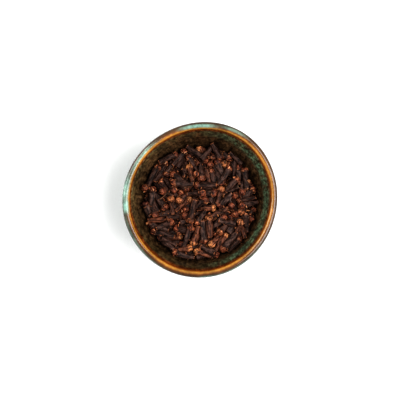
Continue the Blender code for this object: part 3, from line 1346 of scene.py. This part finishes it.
def glaze_material(bowl):
    """A reactive glaze: teal and olive over brown, thin and amber where it breaks at the lip."""
    material, tree, shader = new_material("reactive_glaze", 0.3)
    shader.inputs["Specular IOR Level"].default_value = 0.1
    shader.inputs["Coat Weight"].default_value = 0.85
    shader.inputs["Coat Roughness"].default_value = 0.06
    place = object_place(tree)
    x, y, _ = add(tree, "ShaderNodeSeparateXYZ", {"Vector": place}).outputs
    around = add(tree, "ShaderNodeCombineXYZ", {"X": x, "Y": y}).outputs[0]
    outward = add(tree, "ShaderNodeVectorMath", {0: around}, operation="NORMALIZE").outputs[0]
    east, north, _ = add(tree, "ShaderNodeSeparateXYZ", {"Vector": outward}).outputs
    turn = calculate(tree, "ARCTAN2", north, east)
    from_lip = attribute(tree, "from_lip")
    off_lip = calculate(tree, "ABSOLUTE", from_lip)

    # Streaks run down the wall, and the mottle lies all over
    run = {"X": times(tree, east, 16.0), "Y": times(tree, north, 16.0),
           "Z": times(tree, from_lip, 0.16)}
    streak = speckle(tree, add(tree, "ShaderNodeCombineXYZ", run).outputs[0], 1.0, 4.0, 0.6)
    wander = calculate(tree, "SUBTRACT", streak, 0.5)
    mottle = speckle(tree, place, 520.0, 6.0, 0.68)

    # The bands follow the lip closely near it, and wander further down the wall
    near_lip = ramp_up(tree, off_lip, 2.5, 7.0, 1.0, 0.0)
    shift = calculate(tree, "ADD", wave(tree, turn, 1, 320, 0.45), wave(tree, turn, 3, 255, 0.45))
    loose = times(tree, wander, ramp_up(tree, near_lip, 0.0, 1.0, 5.0, 0.7))
    band = calculate(tree, "MULTIPLY_ADD", shift, near_lip, calculate(tree, "ADD", from_lip, loose))
    colour = glaze_bands(tree, band)

    # Thick teal glaze covers them in the pools and down the outside, smoothly on the lip
    below = ramp_up(tree, from_lip, -13.0, -4.0, 0.8, 0.0)
    outside = times(tree, below, ramp_up(tree, mottle, 0.36, 0.62, 0.2, 1.0))
    cover = calculate(tree, "MAXIMUM", cover_of_pools(tree, east, north, band), outside)
    depth = ramp_up(tree, off_lip, 2.4, 5.0)
    thinnest = ramp_up(tree, depth, 0.0, 1.0, 0.86, 0.3)
    cover = times(tree, cover, ramp_up(tree, mottle, 0.36, 0.58, thinnest, 1.0))
    colour = blend(tree, cover, colour, blend(tree, depth, bowl.pale_teal, bowl.teal))

    # It is darker and lighter by the mottle, round the bowl and along the streaks, and a painted
    # light makes it lighter toward the upper left, where the lip's inside faces the key light,
    # darker opposite
    darkest = ramp_up(tree, depth, 0.0, 1.0, 0.78, 0.36)
    lightest = ramp_up(tree, depth, 0.0, 1.0, 1.16, 1.6)
    shade = ramp_up(tree, mottle, 0.34, 0.66, darkest, lightest)
    swell = ramp_up(tree, speckle(tree, outward, 2.6, 2.0), 0.36, 0.62, 0.76, 1.16)
    painted_lit_side = calculate(tree, "ADD", wave(tree, turn, 1, 150, 0.12), 1.0)
    streaky = calculate(tree, "MULTIPLY_ADD", times(tree, wander, depth), 3.5, 1.0)
    colour = shaded(tree, colour, times(tree, shade, swell, painted_lit_side, streaky))

    boldest = ramp_up(tree, depth, 0.0, 1.0, 0.15, 0.55)
    fleck = ramp_up(tree, speckle(tree, place, 1900.0, 2.0, 0.5), 0.66, 0.74, 0.0, boldest)
    colour = blend(tree, fleck, colour, display(30, 20, 12))
    finish_skin(tree, shader, colour, speckle(tree, place, 700.0, 2.0), 0.12, 0.2 * MM)
    return material


def cover_of_pools(tree, east, north, band):
    """How thickly the thickest of the pools covers a place."""
    cover = 0.0
    for direction, half_width, middle, reach, thickness in GLAZE_POOLS:
        toward = math.radians(direction)
        pool = use_group(tree, glaze_pool(), {
            "East": east, "North": north, "Band": band,
            "Toward east": math.cos(toward), "Toward north": math.sin(toward),
            "Half width": math.radians(half_width),
            "Middle": middle, "Reach": reach, "Thickness": thickness,
        })
        cover = calculate(tree, "MAXIMUM", cover, pool.outputs["Cover"])
    return cover


def wave(tree, turn, count, toward, size):
    """A slow rise and fall around the bowl, highest toward one direction in degrees."""
    phase = calculate(tree, "MULTIPLY_ADD", turn, float(count), -count * math.radians(toward))
    return times(tree, calculate(tree, "COSINE", phase), size)


def glaze_bands(tree, band):
    """The glaze's colour by the distance from the lip."""
    low, high = BAND_RANGE
    inputs = {"Value": band, "From Min": low, "From Max": high, "To Min": 0.0, "To Max": 1.0}
    along = add(tree, "ShaderNodeMapRange", inputs).outputs[0]
    node = add(tree, "ShaderNodeValToRGB", {"Fac": along})
    elements = node.color_ramp.elements
    for number, (distance, colour) in enumerate(GLAZE_BANDS):
        place = (distance - low) / (high - low)
        element = elements[number] if number < 2 else elements.new(place)
        element.position = place
        element.color = (*display(*colour), 1.0)
    return node.outputs["Color"]


def clay_material(bowl):
    material, tree, shader = new_material("bare_clay", 0.85)
    grain = speckle(tree, object_place(tree), 1200.0, 4.0, 0.65)
    colour = shaded(tree, tuple(bowl.clay), ramp_up(tree, grain, 0.3, 0.7, 0.75, 1.15))
    finish_skin(tree, shader, colour, grain, 0.5, 0.2 * MM)
    return material


def core_material(cloves):
    material, tree, shader = new_material("buried_cloves_in_painted_shade", 0.8)
    inputs = {"Vector": object_place(tree), "Fineness": 900.0, "Length": 1.0}
    skin = use_group(tree, dried_skin(), inputs)
    # Painted shade: the buried cloves take a twentieth to a fifth of a stem's colour
    dark, light = (tuple(share * channel for channel in cloves.stem) for share in (0.05, 0.2))
    colour = blend(tree, skin.outputs["Patch"], dark, light)
    finish_skin(tree, shader, colour, skin.outputs["Wrinkle"], 1.0, 0.6 * MM)
    return material


# --------------------------------------------------------------------------- the pieces


class CLOVES_OT_bowl(bpy.types.Operator):
    """Turn the glazed bowl from its outline, and press it out of round"""

    bl_idname = "cloves.bowl"
    bl_label = "Glazed bowl"

    segments = 180
    outside_steps = 44
    lip_steps = 20
    inside_steps = 48
    throwing_rings = 0.07 * MM
    ring_spacing = 4.6 * MM
    ring_climb = 0.35
    slow_swell = 0.28 * MM
    swell_height = 14 * MM
    lip_unlevel = 0.22 * MM

    def execute(self, context):
        bowl = context.scene.clove_bowl
        outside = foot_ring(bowl) + outer_wall(bowl, self.outside_steps)
        crest = lip(bowl, self.lip_steps)
        inside = list(reversed(inner_wall(bowl, self.inside_steps)))
        piece = spin_outline("glazed_bowl", outside + crest + inside, self.segments)
        self.measure_from_lip(piece, bowl)
        self.leave_throwing_marks(piece, bowl)
        press_out_of_round(piece)
        self.give_skins(piece, bowl)
        smooth(piece, 50)
        hand_over(piece, "bowl")
        return {"FINISHED"}

    def measure_from_lip(self, piece, bowl):
        """Each vertex's distance from the lip's crest along the surface, negative outside."""
        half = bowl.lip_width / 2
        centre = (bowl.rim_radius - half, bowl.height - half)
        quarter = math.pi / 2 * half
        inner, outer = (np.array(wall(bowl, 24)) for wall in (inner_wall, outer_wall))
        distances = []
        for x, y, z in places(piece):
            spread = math.hypot(x, y)
            if z > centre[1]:
                turn = math.atan2(z - centre[1], spread - centre[0])
                distances.append((turn - math.pi / 2) * half)
                continue
            ends = [np.interp(z, wall[:, 1], wall[:, 0]) for wall in (inner, outer)]
            middle_of_wall = 0.0 if z < bowl.floor_height else sum(ends) / 2
            is_outside = spread > middle_of_wall
            slope = 1.12 if is_outside else 1.10
            gone = quarter + (centre[1] - z) * slope
            distances.append(-gone if is_outside else gone)
        set_values(piece, "from_lip", np.array(distances) / MM)

    def leave_throwing_marks(self, piece, bowl):
        """Shallow rings and slow unevenness, as a potter's fingers leave them."""

        def marked(place):
            spread = math.hypot(place.x, place.y)
            if place.z < 2 * bowl.foot_height or spread < 0.2 * bowl.rim_radius:
                return place
            turn = math.atan2(place.y, place.x)
            climb = place.z / self.ring_spacing + self.ring_climb * turn / math.tau
            ring = math.sin(math.tau * climb)
            around = Vector((math.cos(turn), math.sin(turn), place.z / self.swell_height))
            move = self.throwing_rings * ring * ease(4 * MM, 9 * MM, bowl.height - place.z)
            move += self.slow_swell * noise.noise(around * 1.3)
            outward = Vector((place.x, place.y, 0.0)) / spread
            near_lip = ease(30 * MM, 41 * MM, place.z)
            level = self.lip_unlevel * noise.noise(outward * 1.7) * near_lip
            return place + outward * move + Vector((0.0, 0.0, level))

        reshape(piece, marked)

    def give_skins(self, piece, bowl):
        """Glaze all over, but for the foot ring and the underside."""
        piece.data.materials.append(glaze_material(bowl))
        piece.data.materials.append(clay_material(bowl))
        for face in piece.data.polygons:
            low = face.center.z < bowl.foot_height * 1.01
            face.material_index = 1 if low else 0


class CLOVES_OT_core(bpy.types.Operator):
    """Fill the bowl with the core that the cloves lie on, painted dark as the shade between them"""

    bl_idname = "cloves.core"
    bl_label = "Buried core"

    segments = 96
    wall_steps = 30
    top_rings = 16
    gap = 0.6 * MM
    relief = 1.1 * MM

    def execute(self, context):
        bowl = context.scene.clove_bowl
        cloves = context.scene.clove_heap
        edge = cloves.core_edge
        wall = [(r, z) for r, z in inner_wall(bowl, self.wall_steps) if z < edge - 1 * MM]
        side = [(max(r - self.gap, 0.0), z + self.gap) for r, z in wall]
        rim = side[-1][0]
        rings = range(self.top_rings, -1, -1)
        top = [(rim * ring / self.top_rings, edge) for ring in rings]
        piece = spin_outline("buried_core", side + top, self.segments)

        def domed(place):
            if place.z < edge - 0.2 * MM:
                return place
            lump = noise.noise(place * 420.0) + 0.6 * noise.noise(place * 900.0)
            height = core_height(cloves, place.x, place.y) - self.relief * (0.9 - 0.8 * lump)
            inside = math.hypot(place.x, place.y) < rim - 0.1 * MM
            return Vector((place.x, place.y, height * (1.0 if inside else 0.98)))

        reshape(piece, domed)
        press_out_of_round(piece)
        depth, off = pressed_into_wall(piece)
        move_places(piece, off * depth[:, None])
        piece.data.materials.append(core_material(cloves))
        smooth(piece, 60)
        hand_over(piece, "clove_heap")
        return {"FINISHED"}


class LaysCloves:
    """What the operators share that each lay the cloves of one kind as one piece."""

    def execute(self, context):
        lay_cloves(self.kind, self.piece)
        return {"FINISHED"}


class CLOVES_OT_whole(LaysCloves, bpy.types.Operator):
    """Lay the whole cloves, each with its stem, crown and closed bud"""

    bl_idname = "cloves.whole"
    bl_label = "Whole cloves"
    kind = "whole"
    piece = "whole_cloves"


class CLOVES_OT_open(LaysCloves, bpy.types.Operator):
    """Lay the cloves that have lost their bud, with an open crown"""

    bl_idname = "cloves.open"
    bl_label = "Open cloves"
    kind = "open"
    piece = "open_cloves"


class CLOVES_OT_buds(LaysCloves, bpy.types.Operator):
    """Lay the round buds that have come off their cloves"""

    bl_idname = "cloves.buds"
    bl_label = "Loose buds"
    kind = "bud"
    piece = "loose_buds"


class CLOVES_OT_stems(LaysCloves, bpy.types.Operator):
    """Lay the bare stems that have lost their head"""

    bl_idname = "cloves.stems"
    bl_label = "Bare stems"
    kind = "stem"
    piece = "bare_stems"


class CLOVES_OT_stalks(LaysCloves, bpy.types.Operator):
    """Lay the thin forked stalks that cloves grow on"""

    bl_idname = "cloves.stalks"
    bl_label = "Thin stalks"
    kind = "stalk"
    piece = "thin_stalks"


class CLOVES_OT_crumbs(bpy.types.Operator):
    """Scatter the chips of petals and sepals that lie between the cloves"""

    bl_idname = "cloves.crumbs"
    bl_label = "Crumbs"

    def execute(self, context):
        lay_crumbs("clove_crumbs")
        return {"FINISHED"}


class CLOVES_OT_stage(bpy.types.Operator):
    """Set the white floor, the soft lights and the camera straight above"""

    bl_idname = "cloves.stage"
    bl_label = "Stage"

    floor_size = 6.0
    floor_gap = 0.2 * MM
    floor_white = 0.92
    key_size = 0.55
    key_place = (0.37, -0.03, 0.60)
    fill_size = 0.70
    fill_place = (-0.75, 0.35, 0.60)
    sensor_width = 36.0
    camera_aside = 0.2 * MM

    def execute(self, context):
        stage = context.scene.clove_stage
        self.lay_floor()
        self.light_sky(stage)
        self.hang_light("key_light", stage.key, self.key_size, self.key_place)
        self.hang_light("fill_light", stage.fill, self.fill_size, self.fill_place)
        self.stand_camera(stage)
        context.scene.view_settings.view_transform = "Standard"
        context.scene.view_settings.look = "High Contrast"
        return {"FINISHED"}

    def lay_floor(self):
        bpy.ops.mesh.primitive_plane_add(size=self.floor_size, location=(0, 0, -self.floor_gap))
        floor = newest("floor")
        material, _, shader = new_material("white_floor", 0.9)
        shader.inputs["Base Color"].default_value = (*[self.floor_white] * 3, 1.0)
        shader.inputs["Specular IOR Level"].default_value = 0.1
        floor.data.materials.append(material)

    def light_sky(self, stage):
        world = bpy.data.worlds.new("white_room")
        world.use_nodes = True
        sky = world.node_tree.nodes["Background"]
        sky.inputs["Color"].default_value = (1.0, 1.0, 1.0, 1.0)
        sky.inputs["Strength"].default_value = stage.sky
        bpy.context.scene.world = world

    def hang_light(self, name, power, size, place):
        bpy.ops.object.light_add(type="AREA", location=place)
        light = bpy.context.object
        light.name = name
        light.data.energy = power
        light.data.size = size
        light.rotation_euler = (-Vector(place)).to_track_quat("-Z", "Y").to_euler()

    def stand_camera(self, stage):
        aside = -self.camera_aside
        place = (aside, aside, LIP_TOP + stage.camera_height)
        bpy.ops.object.camera_add(location=place, rotation=(0.0, 0.0, 0.0))
        camera = bpy.context.object
        camera.name = "camera"
        camera.data.lens = stage.lens
        camera.data.sensor_width = self.sensor_width
        camera.data.clip_start = 0.01
        bpy.context.scene.camera = camera


class CLOVES_PT_panel(bpy.types.Panel):
    """The sizes and colours, and a button for each piece"""

    bl_label = "Bowl of whole cloves"
    bl_idname = "CLOVES_PT_panel"
    bl_space_type = "VIEW_3D"
    bl_region_type = "UI"
    bl_category = "Cloves"

    def draw(self, context):
        layout = self.layout
        for operator in OPERATORS:
            layout.operator(operator.bl_idname)
        for settings in (context.scene.clove_bowl, context.scene.clove_heap,
                         context.scene.clove_stage):
            box = layout.box()
            for name in settings.bl_rna.properties.keys():
                if name not in ("rna_type", "name"):
                    box.prop(settings, name)


OPERATORS = (
    CLOVES_OT_stage,
    CLOVES_OT_bowl,
    CLOVES_OT_core,
    CLOVES_OT_whole,
    CLOVES_OT_open,
    CLOVES_OT_buds,
    CLOVES_OT_stems,
    CLOVES_OT_stalks,
    CLOVES_OT_crumbs,
)
CLASSES = (BowlSettings, CloveSettings, StageSettings, *OPERATORS, CLOVES_PT_panel)


def register():
    for cls in CLASSES:
        bpy.utils.register_class(cls)
    bpy.types.Scene.clove_bowl = bpy.props.PointerProperty(type=BowlSettings)
    bpy.types.Scene.clove_heap = bpy.props.PointerProperty(type=CloveSettings)
    bpy.types.Scene.clove_stage = bpy.props.PointerProperty(type=StageSettings)


def unregister():
    del bpy.types.Scene.clove_stage
    del bpy.types.Scene.clove_heap
    del bpy.types.Scene.clove_bowl
    for cls in reversed(CLASSES):
        bpy.utils.unregister_class(cls)


def main():
    register()
    bpy.ops.cloves.stage()
    bpy.ops.cloves.bowl()
    bpy.ops.cloves.core()
    bpy.ops.cloves.whole()
    bpy.ops.cloves.open()
    bpy.ops.cloves.buds()
    bpy.ops.cloves.stems()
    bpy.ops.cloves.stalks()
    bpy.ops.cloves.crumbs()
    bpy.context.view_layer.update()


if __name__ == "__main__":
    main()
